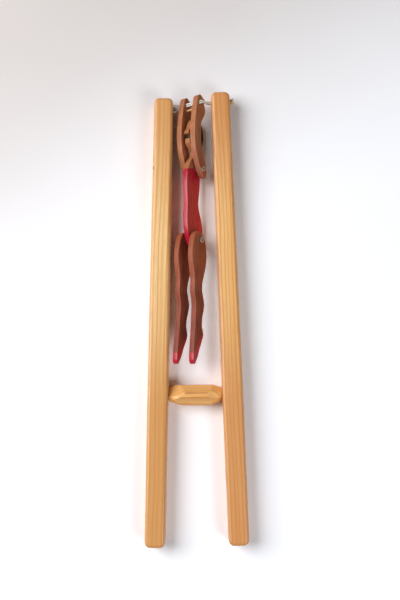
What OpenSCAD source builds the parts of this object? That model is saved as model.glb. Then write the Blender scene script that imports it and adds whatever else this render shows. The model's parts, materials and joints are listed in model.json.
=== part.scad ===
// Squeeze acrobat: a jointed wooden figure hung on a loop of string between two rails.
// The toy lies on its back. X runs across it, Y towards the string end, Z up.

/* [Rails] */
// Length of the left rail, end to end
left_rail_length = 340.6; // [339.8:0.1:345]
// Length of the right rail, which is cut a little longer
right_rail_length = 344; // [341:0.1:350]
// Width of a rail at its string end
rail_top_width = 14.5; // [13.5:0.1:15.4]
// Width of a rail at the crossbar
rail_mid_width = 15.6; // [14.8:0.1:16.4]
// Width of a rail at its grip end
rail_grip_width = 14.8; // [13.5:0.1:15.4]
// Depth of a rail, front to back
rail_depth = 16.5; // [15.5:0.1:17.5]
// Rounding of a rail's long edges
rail_edge_r = 2.5; // [1.5:0.1:3]
// Rounding of a rail's end corners
rail_end_r = 2.6; // [2:0.1:2.7]
// Lean of each rail towards the other at the string end, in degrees
rail_splay = 1.5; // [1.2:0.1:1.6]
// Distance between the middles of the rails at the nails
rail_spacing = 56.1; // [55.5:0.1:58]
// Height of the left nail above its rail's grip end
left_nail_height = 110.7; // [107:0.1:111.2]
// Height of the right nail above its rail's grip end
right_nail_height = 109.8; // [107:0.1:112]

/* [Crossbar and nails] */
// Thickness of the whittled bar in its middle, across flats
bar_thick = 15.4; // [13:0.1:16]
// Thickness of the bar at its ends, across flats
bar_end_thick = 8.2; // [7:0.1:10]
// Length of the bar's full-thickness middle
bar_middle = 23; // [18:0.5:26]
// Diameter of a pivot nail
nail_d = 2.4; // [2:0.1:3]
// Depth of a pivot nail in the bar
nail_bite = 14; // [10:0.5:17]
// Diameter of a nail head
nail_head_d = 5.2; // [4.5:0.1:7]
// Thickness of a nail head
nail_head = 1; // [0.8:0.1:1.5]
// Depth of a nail head below its rail's outer face
nail_sink = 0.2; // [0.15:0.05:0.5]
// Room round a nail in its rail, which lets the rail rock
rock_room = 0.4; // [0.35:0.01:0.5]
// Gap between a rail and the bar's end, and under a nail head
rock_gap = 0.35; // [0.3:0.01:0.5]

/* [Figure] */
// Thickness of the board that the figure is cut from
board = 4.5; // [4:0.1:4.8]
// Distance between the middles of the two arms, and of the two legs
limb_pitch = 13; // [12.6:0.1:13.4]
// Turn of the slack figure about its own length, in degrees
twist = 36; // [34:0.5:38]
// Height of the rivets' middle above the table
rivet_z = 10; // [9.9:0.1:11]
// Place of the shoulder rivet's middle across the toy
figure_x = 0.8; // [0.3:0.1:1.1]
// String hole of a hand to the shoulder rivet
arm_reach = 52.3; // [50:0.1:54]
// Depth of an arm forward of the shoulder rivet, at the elbow
arm_depth = 10; // [9.6:0.1:10.4]
// How far the string hole lies forward of the shoulder rivet
hand_forward = 3.4; // [3:0.1:3.8]
// Shoulder rivet to hip rivet, along the toy
torso_reach = 56; // [54:0.1:58]
// Depth of the chest forward of the shoulder rivet
trunk_depth = 10; // [9.6:0.1:10.4]
// How far the hip rivet lies forward of the shoulder rivet
hip_forward = 3.3; // [2.5:0.1:4]
// Shoulder rivet to the crown of the head
head_height = 41.3; // [39:0.1:43]
// Depth of the head behind the shoulder rivet
head_depth = 10; // [9.6:0.1:10.4]
// Hip rivet to the tip of the toe
leg_reach = 94; // [90:0.1:98]
// Depth of a leg forward of the hip rivet
leg_depth = 10; // [9.6:0.1:10.4]
// How far the left leg hangs forward of the right, in degrees
left_leg_lean = 1.9; // [0:0.1:2.2]

/* [Rivets and dowel] */
// Diameter of a rivet's shank
rivet_d = 3; // [2.4:0.1:3.4]
// Diameter of the hole through a rivet
rivet_hole_d = 1.7; // [1.2:0.1:2]
// Diameter of a rivet head
rivet_head_d = 4.8; // [4.2:0.1:5.4]
// Thickness of a rolled rivet head
rivet_head = 0.8; // [0.6:0.1:1]
// Room round a rivet in the boards
rivet_room = 0.08; // [0.03:0.01:0.1]
// Gap under a rivet head
head_gap = 0.15; // [0.1:0.01:0.2]
// Diameter of the dowel between the hands
dowel_d = 2; // [1.6:0.1:2.2]
// Depth of the dowel in each hand
dowel_bite = 1.5; // [1:0.1:2]
// Distance of the dowel below the string hole
dowel_drop = 4.3; // [4:0.1:5]
// Room round the dowel and the nails where they are tight
tight_room = 0.02; // [0.02:0.01:0.04]

/* [String] */
// Diameter of the string
string_d = 1.3; // [1.1:0.05:1.4]
// Distance between the two strands where they run side by side
strand_gap = 1.6; // [1.5:0.05:1.7]
// Diameter of the holes that hold two strands
double_hole_d = 3.3; // [3.2:0.05:3.5]
// Diameter of the holes that hold one strand
single_hole_d = 1.9; // [1.8:0.05:2.2]
// Height of the hands' string hole above the nails
string_height = 225.1; // [224:0.1:226]
// Distance of the right rail's string hole below that rail's top
right_hole_drop = 6.4; // [5:0.1:7.5]
// Distance of the left rail's upper string hole below that rail's top
left_hole_drop = 3.8; // [3.8:0.1:5]
// Distance between the left rail's two string holes
left_hole_gap = 5; // [4:0.1:6]
// Width of the groove between those holes, in which the string turns
groove_wide = 2.4; // [2.3:0.05:2.8]

/* [Hidden] */

honey_wood = "#DDA35F";
stained_wood = "#8E4F38";
shirt_red = "#B3202E";
steel = "#B9BCC0";
string_white = "#E9E2D2";

left = -1;
right = 1;
around = 48;
around_edge = 24;
around_string = 16;
curve_steps = 4;
planed = 0.1;
bar_sides = 8;
bar_turn = 180 / bar_sides;

// Rails: local places are counted from the nail, along the rail
bar_y = (left_nail_height + right_nail_height - right_rail_length) / 2;
rail_z = rail_depth / 2;
function rail_low(side) = side == left ? -left_nail_height : -right_nail_height;
function rail_high(side) = rail_low(side) + (side == left ? left_rail_length : right_rail_length);
function rail_half(y, side) =
    let (share = y / (rail_high(side) - rail_end_r))
    (rail_mid_width + (rail_top_width - rail_mid_width) * share) / 2;
function rail_place(side, x, y) =
    let (turn = side * rail_splay)
    [
        side * rail_spacing / 2 + x * cos(turn) - y * sin(turn),
        bar_y + x * sin(turn) + y * cos(turn),
        rail_z
    ];
right_hole_y = rail_high(right) - right_hole_drop;
left_hole_y = rail_high(left) - left_hole_drop;
bar_length = rail_spacing - rail_mid_width - 2 * rock_gap;

// Figure: local places are counted from the shoulder rivet, forward and up the body
string_y = bar_y + string_height;
shoulder_y = string_y - arm_reach;
outer_face = (limb_pitch + board) / 2;
inner_face = (limb_pitch - board) / 2;
across = [cos(twist), 0, sin(twist)];
forward = [-sin(twist), 0, cos(twist)];
function figure_place(ahead, up, lateral) =
    [figure_x, shoulder_y + up, rivet_z] + lateral * across + ahead * forward;
dowel_forward = 2.4;

// String: it leaves each hole straight for the length of its lead, and is cut there into its nodes
lead = 1.6;
string_cut = 0.08;
string_stand = 0.12;
groove_deep = string_d + 2 * string_stand;
loop_bend = 0.8;
knot_r = 1.45;
knot_swing = 0.55;
knot_rise = 0.75;
knot_rings = 36;
crossing_from = 1.5;
hand_right = figure_place(hand_forward, arm_reach, outer_face);
hand_left = figure_place(hand_forward, arm_reach, -outer_face);
rail_hole_right = rail_place(right, -rail_half(right_hole_y, right), right_hole_y);
side_step = [0, strand_gap / 2, 0];

// Outlines: each point is a share of the limb's reach and of its depth forward of the rivet
arm_front = [
    [1.124, 0.16], [1.099, 0.47], [1.017, 0.62], [0.915, 0.75], [0.732, 0.92], [0.539, 1.02],
    [0.387, 0.99], [0.254, 0.88], [0.112, 0.63], [-0.02, 0.32], [-0.102, 0.02]
];
arm_back = [
    [-0.13, -0.24], [-0.092, -0.45], [0, -0.47], [0.102, -0.29], [0.275, 0.02], [0.407, 0.17],
    [0.57, 0.18], [0.702, 0.1], [0.783, -0.16], [0.854, -0.37], [0.926, -0.41], [0.971, -0.34],
    [1.002, -0.27], [1.02, -0.42], [1.029, -0.52], [1.042, -0.53], [1.058, -0.4], [1.093, -0.1]
];
leg_front = [
    [-0.066, 0.43], [-0.03, 0.8], [0.03, 1.01], [0.14, 1.15], [0.23, 1.03], [0.33, 0.89],
    [0.42, 0.95], [0.49, 0.82], [0.54, 0.78], [0.62, 0.84], [0.72, 0.92], [0.83, 1.05],
    [0.93, 1.13], [0.985, 1.12]
];
leg_back = [
    [1.0, 0.97], [0.975, 0.8], [0.94, 0.6], [0.88, 0.36], [0.81, 0.02], [0.77, -0.12], [0.74, -0.08],
    [0.7, 0.03], [0.64, -0.02], [0.57, -0.21], [0.52, -0.3], [0.47, -0.19], [0.41, -0.05],
    [0.36, -0.08], [0.29, -0.3], [0.21, -0.56], [0.13, -0.67], [0.05, -0.61], [-0.02, -0.4],
    [-0.06, 0.02]
];
face = [
    [1.0, -0.2], [0.965, 0.27], [0.87, 0.53], [0.79, 0.66], [0.72, 0.88], [0.683, 0.95],
    [0.664, 0.9], [0.655, 0.74], [0.61, 0.68], [0.588, 0.73], [0.574, 0.8], [0.53, 0.81],
    [0.49, 0.77], [0.41, 0.5], [0.34, 0.22], [0.25, 0.32], [0.15, 0.68]
];
trunk_front = [
    [0.0, 1.03], [0.12, 1.15], [0.28, 1.17], [0.48, 1.13], [0.7, 1.19], [0.85, 1.12],
    [0.97, 0.92], [1.06, 0.64]
];
trunk_back = [
    [1.105, 0.26], [1.08, -0.15], [0.98, -0.56], [0.86, -0.76], [0.73, -0.67], [0.57, -0.36],
    [0.47, -0.25], [0.36, -0.34], [0.23, -0.46], [0.06, -0.5]
];
nape = [
    [0.1, -0.45], [0.27, -0.39], [0.37, -0.47], [0.45, -0.76], [0.6, -0.99], [0.76, -1.01],
    [0.91, -0.78]
];

// Places of a list of outline points, with reach counted upwards where it is positive
function outline(points, reach, depth) = [for (p = points) [p[1] * depth, p[0] * reach]];

// Point at share t between b and c on a smooth curve that passes through a, b, c and d
function blend_point(a, b, c, d, t) =
    let (
        k1 = sqrt(norm(b - a)),
        k2 = k1 + sqrt(norm(c - b)),
        k3 = k2 + sqrt(norm(d - c)),
        k = k1 + (k2 - k1) * t,
        p1 = (a * (k1 - k) + b * k) / k1,
        p2 = (b * (k2 - k) + c * (k - k1)) / (k2 - k1),
        p3 = (c * (k3 - k) + d * (k - k2)) / (k3 - k2),
        q1 = (p1 * (k2 - k) + p2 * k) / k2,
        q2 = (p2 * (k3 - k) + p3 * (k - k1)) / (k3 - k1)
    )
    (q1 * (k2 - k) + q2 * (k - k1)) / (k2 - k1);

// Smooth closed curve through a list of points
function closed_curve(points) =
    let (n = len(points))
    [
        for (i = [0:n - 1], s = [0:curve_steps - 1])
            blend_point(
                points[(i + n - 1) % n], points[i], points[(i + 1) % n], points[(i + 2) % n],
                s / curve_steps
            )
    ];

// Smooth open curve through a list of points
function open_curve(points) =
    let (
        n = len(points),
        before = 2 * points[0] - points[1],
        after = 2 * points[n - 1] - points[n - 2],
        all = concat([before], points, [after])
    )
    concat(
        [
            for (i = [0:n - 2], s = [0:curve_steps - 1])
                blend_point(all[i], all[i + 1], all[i + 2], all[i + 3], s / curve_steps)
        ],
        [points[n - 1]]
    );

function unit(v) = v / norm(v);

// Ring of points round a place on a route, square to its direction
function ring(place, direction, level, sides) =
    let (u = unit(cross(direction, level)), v = unit(cross(u, direction)))
    [
        for (k = [0:sides - 1])
            place + string_d / 2 * (u * cos(360 * k / sides) + v * sin(360 * k / sides))
    ];

// Round string along a route; level is a direction that the route never takes
module string_tube(route, level, closed = false, sides = 8) {
    n = len(route);
    last = n - 1;
    directions = [
        for (i = [0:last])
            closed
                ? route[(i + 1) % n] - route[(i + last) % n]
                : route[min(i + 1, last)] - route[max(i - 1, 0)]
    ];
    points = [for (i = [0:last]) each ring(route[i], directions[i], level, sides)];
    walls = [
        for (i = [0:closed ? last : last - 1], k = [0:sides - 1])
            let (
                a = i * sides + k,
                b = i * sides + (k + 1) % sides,
                c = ((i + 1) % n) * sides + k,
                d = ((i + 1) % n) * sides + (k + 1) % sides
            )
            each [[a, c, b], [b, c, d]]
    ];
    caps = closed ? [] : [
        for (k = [1:sides - 2])
            each [
                [0, k, k + 1],
                [last * sides, last * sides + k + 1, last * sides + k]
            ]
    ];
    polyhedron(points, concat(walls, caps));
}

// Rails
module rail_station(y, width, r) {
    for (x = [-1, 1], z = [r, rail_depth - r])
        translate([x * (width / 2 - r), y, z])
            sphere(r, $fn = around_edge);
}

// The blank is planed to its depth, so that it lies flat
module rail_blank(side) {
    intersection() {
        translate([0, 0, rail_z])
            scale([1, 1, 1 + planed / rail_depth])
                translate([0, 0, -rail_z])
                    hull() {
                        rail_station(rail_low(side) + rail_end_r, rail_grip_width, rail_end_r);
                        rail_station(0, rail_mid_width, rail_edge_r);
                        rail_station(rail_high(side) - rail_end_r, rail_top_width, rail_end_r);
                    }
        translate([-rail_mid_width, 2 * rail_low(side), 0])
            cube([2 * rail_mid_width, 2 * (rail_high(side) - rail_low(side)), rail_depth]);
    }
}

module cross_drill(y, d) {
    translate([0, y, rail_z])
        rotate([0, 90, 0])
            cylinder(h = 2 * rail_mid_width, d = d, center = true, $fn = around);
}

// Recess in a rail's outer face, in which the nail head has room as the rail rocks
module head_recess(side) {
    deep = nail_sink + nail_head + rock_gap;
    translate([side * rail_mid_width / 2, 0, rail_z])
        rotate([0, 90, 0])
            cylinder(h = 2 * deep, d = nail_head_d + 2 * rock_room, center = true, $fn = around);
}

module rail(side) {
    translate([side * rail_spacing / 2, bar_y, 0])
        rotate(side * rail_splay)
            difference() {
                rail_blank(side);
                cross_drill(0, nail_d + 2 * rock_room);
                head_recess(side);
                children();
            }
}

// Groove in the left rail's outer face, from one string hole to the other
module string_groove() {
    wall = -rail_half(left_hole_y, left);
    translate([wall - groove_deep, left_hole_y - left_hole_gap, rail_z - groove_wide / 2])
        cube([2 * groove_deep, left_hole_gap, groove_wide]);
}

module left_rail() {
    color(honey_wood)
        rail(left) {
            union() {
                cross_drill(left_hole_y, single_hole_d);
                cross_drill(left_hole_y - left_hole_gap, single_hole_d);
                string_groove();
            }
        }
}

module right_rail() {
    color(honey_wood)
        rail(right)
            cross_drill(right_hole_y, double_hole_d);
}

// Crossbar, whittled to eight sides, and the nails that the rails rock on
module bar_blank() {
    middle_r = bar_thick / 2 / cos(bar_turn);
    end_r = bar_end_thick / 2 / cos(bar_turn);
    rotate(bar_turn)
        rotate_extrude($fn = bar_sides)
            polygon([
                [0, -bar_length / 2],
                [end_r, -bar_length / 2],
                [middle_r, -bar_middle / 2],
                [middle_r, bar_middle / 2],
                [end_r, bar_length / 2],
                [0, bar_length / 2]
            ]);
}

module crossbar() {
    color(honey_wood)
        translate([0, bar_y, rail_z])
            rotate([0, 90, 0])
                difference() {
                    bar_blank();
                    for (end = [-1, 1])
                        translate([0, 0, end * bar_length / 2])
                            cylinder(
                                h = 2 * (nail_bite + rock_gap), d = nail_d + 2 * tight_room,
                                center = true, $fn = around
                            );
                }
}

module pivot_nail(side) {
    grip = rock_gap + rail_mid_width - nail_sink - nail_head;
    point = 2 * nail_d;
    color(steel)
        translate([side * (bar_length / 2 + grip), bar_y, rail_z])
            rotate([0, -90 * side, 0]) {
                translate([0, 0, -nail_head])
                    cylinder(h = nail_head, d = nail_head_d, $fn = around);
                cylinder(h = grip + nail_bite - point, d = nail_d, $fn = around);
                translate([0, 0, grip + nail_bite - point])
                    cylinder(h = point, d1 = nail_d, d2 = nail_d / 6, $fn = around);
            }
}

module left_pivot_nail() {
    pivot_nail(left);
}

module right_pivot_nail() {
    pivot_nail(right);
}

// Figure: boards lie in the local XY plane, facing X, and stack to the figure's left along Z
module on_figure(ahead, up, lateral) {
    translate(figure_place(ahead, up, lateral))
        rotate([0, -90 - twist, 0])
            children();
}

module cut_board(points) {
    linear_extrude(board, center = true)
        polygon(closed_curve(points));
}

module board_drill(ahead, up, d) {
    translate([ahead, up, 0])
        cylinder(h = 2 * board, d = d, center = true, $fn = around);
}

module arm(side) {
    color(stained_wood)
        on_figure(0, 0, side * limb_pitch / 2)
            difference() {
                cut_board(outline(concat(arm_front, arm_back), arm_reach, arm_depth));
                board_drill(0, 0, rivet_d + 2 * rivet_room);
                board_drill(hand_forward, arm_reach, double_hole_d);
                translate([dowel_forward, arm_reach - dowel_drop, side * board / 2])
                    cylinder(
                        h = 2 * (dowel_bite + tight_room), d = dowel_d + 2 * tight_room,
                        center = true, $fn = around
                    );
            }
}

module left_arm() {
    arm(left);
}

module right_arm() {
    arm(right);
}

module hand_dowel() {
    color(honey_wood)
        on_figure(dowel_forward, arm_reach - dowel_drop, 0)
            cylinder(h = 2 * (inner_face + dowel_bite), d = dowel_d, center = true, $fn = around);
}

module torso() {
    head = outline(face, head_height, head_depth);
    chest = outline(trunk_front, -torso_reach, trunk_depth);
    back = outline(trunk_back, -torso_reach, trunk_depth);
    neck = outline(nape, head_height, head_depth);
    color(shirt_red)
        on_figure(0, 0, 0)
            difference() {
                cut_board(concat(head, chest, back, neck));
                board_drill(0, 0, rivet_d + 2 * rivet_room);
                board_drill(hip_forward, -torso_reach, rivet_d + 2 * rivet_room);
            }
}

module leg(side, lean) {
    color(stained_wood)
        on_figure(hip_forward, -torso_reach, side * limb_pitch / 2)
            rotate(lean)
                difference() {
                    cut_board(outline(concat(leg_front, leg_back), -leg_reach, leg_depth));
                    board_drill(0, 0, rivet_d + 2 * rivet_room);
                }
}

module left_leg() {
    leg(left, left_leg_lean);
}

module right_leg() {
    leg(right, 0);
}

// Hollow rivet with a rolled head at each end
module rivet() {
    half = outer_face + head_gap;
    rim = rivet_head / 2;
    color(steel)
        rotate_extrude($fn = around) {
            translate([rivet_hole_d / 2, -half - rim])
                square([(rivet_d - rivet_hole_d) / 2, 2 * (half + rim)]);
            for (end = [-1, 1])
                translate([0, end * (half + rim)]) {
                    translate([rivet_hole_d / 2 + rim, -rim])
                        square([(rivet_head_d - rivet_hole_d) / 2 - 2 * rim, 2 * rim]);
                    for (x = [rivet_hole_d / 2 + rim, rivet_head_d / 2 - rim])
                        translate([x, 0])
                            circle(rim, $fn = around_edge);
                }
        }
}

module shoulder_rivet() {
    on_figure(0, 0, 0)
        rivet();
}

module hip_rivet() {
    on_figure(hip_forward, -torso_reach, 0)
        rivet();
}

// String: one loop, through both hands twice and knotted outside the right rail
module strand_pair(from, to) {
    for (side = [-1, 1]) {
        run = to - from;
        translate(from + side * side_step)
            rotate([0, acos(run[2] / norm(run)), atan2(run[1], run[0])])
                cylinder(h = norm(run), d = string_d, $fn = around_string);
    }
}

module string_middle() {
    color(string_white)
        strand_pair(hand_left, hand_right);
}

// The two strands turn about each other once between the right hand and the right rail
module string_right_span() {
    run = rail_hole_right - hand_right;
    outward = unit(cross(run, side_step)) * strand_gap / 2;
    path = open_curve([
        hand_right + string_cut * across,
        hand_right + lead * across,
        hand_right + run / 2 + lead / 2 * across,
        rail_hole_right - [lead, 0, 0],
        rail_hole_right - [string_cut, 0, 0]
    ]);
    color(string_white)
        for (start = [0, 180])
            string_tube(
                [
                    for (i = [0:len(path) - 1])
                        let (
                            share = i / curve_steps - crossing_from,
                            turn = start + 180 * max(0, min(1, share))
                        )
                        path[i] + side_step * cos(turn) + outward * sin(turn)
                ],
                [0, 1, 0]
            );
}

// The two strands part between the left hand and the left rail's two holes
module string_left_span() {
    color(string_white)
        for (side = [-1, 1]) {
            hole_y = left_hole_y - (1 - side) / 2 * left_hole_gap;
            hole = rail_place(left, rail_half(hole_y, left), hole_y);
            string_tube(
                open_curve([
                    hand_left + side * side_step - string_cut * across,
                    hand_left + side * side_step - lead * across,
                    hole + [lead, 0, 0],
                    hole + [string_cut, 0, 0]
                ]),
                [0, 1, 0]
            );
        }
}

// Out through one hole of the left rail, down its groove and in through the other
module string_left_loop() {
    top = left_hole_y;
    low = left_hole_y - left_hole_gap;
    outside = -rail_half(top, left) + groove_deep / 2;
    color(string_white)
        translate([left * rail_spacing / 2, bar_y, rail_z])
            rotate(left * rail_splay)
                string_tube(
                    open_curve([
                        [rail_half(top, left), top, 0],
                        [outside + loop_bend, top, 0],
                        [outside + loop_bend / 4, top - loop_bend / 4, 0],
                        [outside, top - 1.5 * loop_bend, 0],
                        [outside, low + 1.5 * loop_bend, 0],
                        [outside + loop_bend / 4, low + loop_bend / 4, 0],
                        [outside + loop_bend, low, 0],
                        [rail_half(low, left), low, 0]
                    ]),
                    [0, 0, 1]
                );
}

module string_right_end() {
    half = rail_half(right_hole_y, right);
    color(string_white)
        strand_pair(rail_hole_right, rail_place(right, half, right_hole_y));
}

// Tight knot outside the right rail, wound as a closed curve
module string_knot() {
    outside = rail_half(right_hole_y, right) + knot_rise + string_d / 2 + string_stand;
    route = [
        for (i = [0:knot_rings - 1])
            let (t = 360 * i / knot_rings, r = knot_r + knot_swing * cos(3 * t))
            [r * cos(2 * t), r * sin(2 * t), knot_rise * sin(3 * t)]
    ];
    color(string_white)
        translate(rail_place(right, outside, right_hole_y))
            rotate([0, 90, 0])
                string_tube(route, [0, 0, 1], closed = true);
}

left_rail();
right_rail();
crossbar();
left_pivot_nail();
right_pivot_nail();
left_arm();
right_arm();
hand_dowel();
shoulder_rivet();
torso();
hip_rivet();
left_leg();
right_leg();
string_left_loop();
string_left_span();
string_middle();
string_right_span();
string_right_end();
string_knot();
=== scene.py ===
"""Looks of the squeeze acrobat: a jointed board figure on a string loop between two rails."""

import json
import logging
import math
from collections.abc import Sequence
from dataclasses import dataclass
from enum import Enum

import bmesh
import bpy
from mathutils import Euler, Matrix, Vector, noise
from mathutils.geometry import interpolate_bezier


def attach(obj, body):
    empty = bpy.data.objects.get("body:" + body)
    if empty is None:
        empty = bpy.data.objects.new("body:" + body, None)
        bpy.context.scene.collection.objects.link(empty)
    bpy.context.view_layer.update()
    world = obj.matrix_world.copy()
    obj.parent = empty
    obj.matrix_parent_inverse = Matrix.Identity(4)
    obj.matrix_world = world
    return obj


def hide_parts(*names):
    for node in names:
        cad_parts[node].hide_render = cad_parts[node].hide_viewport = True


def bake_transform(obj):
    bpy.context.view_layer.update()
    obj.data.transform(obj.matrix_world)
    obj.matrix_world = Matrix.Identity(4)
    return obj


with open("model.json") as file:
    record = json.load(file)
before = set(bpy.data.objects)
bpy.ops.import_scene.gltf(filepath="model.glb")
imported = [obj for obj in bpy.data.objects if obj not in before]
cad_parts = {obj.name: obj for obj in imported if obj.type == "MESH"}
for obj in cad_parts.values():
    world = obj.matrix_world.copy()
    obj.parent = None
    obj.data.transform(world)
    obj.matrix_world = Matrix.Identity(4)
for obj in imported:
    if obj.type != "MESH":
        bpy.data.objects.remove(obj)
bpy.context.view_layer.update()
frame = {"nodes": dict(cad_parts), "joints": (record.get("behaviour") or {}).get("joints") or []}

log = logging.getLogger("acrobat")

# Plain names for the types that most functions pass on
Shape = bmesh.types.BMesh
Thing = bpy.types.Object
Socket = bpy.types.NodeSocket

# Sizes are in millimetres, and Blender and the frame work in metres
MM = 0.001
# Edges that turn by more than the first stay sharp to the eye, by more than the second are rounded
SHARP_DEG = 40.0
CORNER_DEG = 60.0
# Cosine above which a face counts as square on to a direction
SQUARE_ON = 0.999
WELD_MM = 1e-4
# Spacing of a wave texture's rings at a scale of 1
WAVE_PITCH = math.pi / 10
VARNISH_IOR = 1.5


class Body(Enum):
    """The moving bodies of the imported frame."""

    BAR = "bar"
    LEFT_RAIL = "left_rail"
    RIGHT_RAIL = "right_rail"
    ARMS = "arms"
    TORSO = "torso"
    LEFT_LEG = "left_leg"
    RIGHT_LEG = "right_leg"


class Slot(Enum):
    """The record's material slots."""

    HONEY_WOOD = "honey_wood"
    STAINED_WOOD = "stained_wood"
    RED_PAINT = "red_paint"
    STEEL = "steel"
    STRING = "string"


class Side(Enum):
    """The two sides of the toy, as signs along X."""

    LEFT = -1
    RIGHT = 1

    @property
    def word(self) -> str:
        """The side's word in the names of pieces."""
        return self.name.lower()


# Node helpers


def srgb(code: str) -> tuple[float, float, float, float]:
    """Turns an sRGB hex value to linear colour.

    Args:
        code: Hex value such as "#DDA35F".

    Returns:
        Red, green, blue and alpha, each from 0 to 1.
    """
    parts = [int(code[i:i + 2], 16) / 255 for i in (1, 3, 5)]
    return (*(p / 12.92 if p <= 0.04045 else ((p + 0.055) / 1.055) ** 2.4 for p in parts), 1.0)


# What a socket takes: a number, a colour or place, or another node's output
Feed = float | tuple[float, ...] | Socket


@dataclass(frozen=True)
class Nodes:
    """The nodes of one material, or of the world."""

    tree: bpy.types.NodeTree

    def feed(self, node: bpy.types.Node, inputs: dict) -> None:
        """Sets a node's sockets.

        Args:
            node: The node.
            inputs: Socket name or number, and the value or the output socket that feeds it.
        """
        for key, value in inputs.items():
            if isinstance(value, Socket):
                self.tree.links.new(value, node.inputs[key])
            else:
                node.inputs[key].default_value = value

    def add(self, kind: str, inputs: dict | None = None, out: str | int = 0, **settings: str) -> Socket:
        """Adds a node with its settings and links.

        Args:
            kind: The node's type name.
            inputs: Socket name or number, and its value or feeding socket.
            out: Name or number of the output socket to return.
            **settings: The node's own properties.

        Returns:
            The output socket.
        """
        node = self.tree.nodes.new(kind)
        for name, value in settings.items():
            setattr(node, name, value)
        self.feed(node, inputs or {})
        return node.outputs[out]

    def maths(self, operation: str, *values: Feed) -> Socket:
        """Works out a number from others."""
        return self.add("ShaderNodeMath", dict(enumerate(values)), operation=operation)

    def ramp(
        self, value: Feed, low: float = 0.0, high: float = 1.0, start: float = 0.0,
        end: float = 1.0, curve: str = "LINEAR",
    ) -> Socket:
        """Leads a number from start to end while a value goes from low to high.

        Args:
            value: The value.
            low: Where the number leaves its start.
            high: Where it reaches its end.
            start: The number up to there.
            end: The number from there on.
            curve: How it goes in between.

        Returns:
            The number.
        """
        limits = {"From Min": low, "From Max": high, "To Min": start, "To Max": end}
        return self.add("ShaderNodeMapRange", {"Value": value, **limits}, interpolation_type=curve)

    def mix(self, share: Feed, under: Feed, over: Feed) -> Socket:
        """Lays a share of one colour over another."""
        return self.add("ShaderNodeMix", {0: share, 6: under, 7: over}, 2, data_type="RGBA")

    def fade(self, share: Feed, under: Feed, over: Feed) -> Socket:
        """Goes from one number to another by a share."""
        return self.add("ShaderNodeMix", {0: share, 2: under, 3: over}, 0, data_type="FLOAT")

    def cloud(
        self, vector: Feed, scale: float = 1.0, detail: float = 2.0, rough: float = 0.5, out: str = "Fac"
    ) -> Socket:
        """Adds soft random clouds.

        Args:
            vector: The place.
            scale: Clouds per unit of the place.
            detail: Finer layers.
            rough: Strength of the finer layers.
            out: Output socket.

        Returns:
            The clouds, from 0 to 1.
        """
        inputs = {"Vector": vector, "Scale": scale, "Detail": detail, "Roughness": rough}
        return self.add("ShaderNodeTexNoise", inputs, out)

    def grain(self, vector: Feed, across: float, along: float, **looks: float | str) -> Socket:
        """Adds clouds that are drawn out along Y.

        Args:
            vector: The place.
            across: Clouds per unit across the grain.
            along: Clouds per unit along it.
            **looks: Further settings of the clouds.

        Returns:
            The clouds, from 0 to 1.
        """
        drawn = self.add("ShaderNodeMapping", {"Vector": vector, "Scale": (across, along, across)})
        return self.cloud(drawn, **looks)

    def reach(self, vector: Feed, way: tuple[float, float, float]) -> Socket:
        """How far a place lies along a direction."""
        return self.add("ShaderNodeVectorMath", {0: vector, 1: way}, "Value", operation="DOT_PRODUCT")

    def bump(self, height: Feed, strength: float, deep_mm: float) -> Socket:
        """Turns a height into fine relief."""
        inputs = {"Height": height, "Strength": strength, "Distance": deep_mm * MM}
        return self.add("ShaderNodeBump", inputs)

    def rubbed(self) -> Socket:
        """How far a place is rubbed, as marked on the mesh."""
        return self.add("ShaderNodeAttribute", out="Fac", attribute_name="rub")


def new_material(name: str) -> tuple[bpy.types.Material, Nodes, bpy.types.Node, Socket]:
    """Starts a node material.

    Args:
        name: The material's name.

    Returns:
        The material, its nodes, its Principled shader and the place on the object.
    """
    material = bpy.data.materials.new(name)
    material.use_nodes = True
    nodes = Nodes(material.node_tree)
    place = nodes.add("ShaderNodeTexCoord", out="Object")
    return material, nodes, material.node_tree.nodes["Principled BSDF"], place


# Mesh helpers


def joint_place(name: str) -> Vector:
    """Place of a joint of the frame, in millimetres."""
    found = next(j for j in frame["joints"] if j["name"] == name)
    return Vector(found["pos_m"]) / MM


def new_object(name: str, data: bpy.types.ID) -> Thing:
    """Puts an object with its data into the scene."""
    thing = bpy.data.objects.new(name, data)
    bpy.context.scene.collection.objects.link(thing)
    return thing


def to_object(shape: Shape, name: str, sharp_deg: float = SHARP_DEG) -> Thing:
    """Makes a mesh object in metres out of a shape in millimetres.

    Args:
        shape: The shape, which is freed.
        name: The object's name.
        sharp_deg: Edges that turn by more than this stay sharp.

    Returns:
        The object, at the origin.
    """
    bmesh.ops.scale(shape, vec=(MM, MM, MM), verts=shape.verts)
    for face in shape.faces:
        face.smooth = True
    for edge in shape.edges:
        if edge.calc_face_angle(0.0) > math.radians(sharp_deg):
            edge.smooth = False
    mesh = bpy.data.meshes.new(name)
    shape.to_mesh(mesh)
    shape.free()
    return new_object(name, mesh)


def baked_mesh(thing: Thing) -> bpy.types.Mesh:
    """Mesh of an object with its modifiers or bevel applied."""
    graph = bpy.context.evaluated_depsgraph_get()
    graph.update()
    return bpy.data.meshes.new_from_object(thing.evaluated_get(graph))


def block(size: Sequence[float]) -> Shape:
    """A box of a size, round the origin."""
    shape = bmesh.new()
    bmesh.ops.create_cube(shape, size=1.0)
    bmesh.ops.scale(shape, vec=size, verts=shape.verts)
    return shape


def lay(shape: Shape, matrix: Matrix) -> Shape:
    """Turns and moves a shape to its place."""
    bmesh.ops.transform(shape, matrix=matrix, verts=shape.verts)
    return shape


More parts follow.
